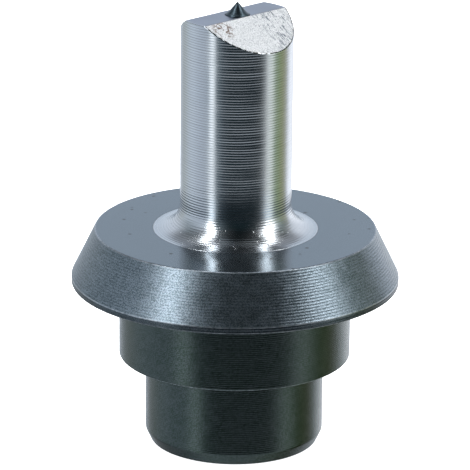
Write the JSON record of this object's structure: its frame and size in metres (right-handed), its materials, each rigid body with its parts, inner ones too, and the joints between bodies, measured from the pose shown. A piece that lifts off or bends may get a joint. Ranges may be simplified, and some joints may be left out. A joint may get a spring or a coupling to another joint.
{
  "type": "flanged hole punch",
  "caption": "Flanged hole punch: a bright roof-ground tip with a centring point on a blackened, stepped body with a conical clamping flange.",
  "frame": {"origin": "centre of the flat spigot end, which is also the centre of the bounding box's bottom", "axes": "+Z along the punch axis, from the spigot end towards the centring point; the ridge of the tip runs 43.4 degrees from +X towards +Y"},
  "size_m": [0.0328, 0.0328, 0.0454],
  "materials": {
    "bright_steel": "satin",
    "point_steel": "satin",
    "flange_black_oxide": "satin",
    "body_black_oxide": "satin",
    "washer_steel": "satin",
    "screw_black_oxide": "satin"
  },
  "bodies": {
    "root": {"punch_tip": "bright_steel", "centring_point": "point_steel", "flange_ring": "flange_black_oxide", "stepped_body": "body_black_oxide", "lock_washer": "washer_steel", "clamp_screw": "screw_black_oxide"}
  },
  "joints": []
}
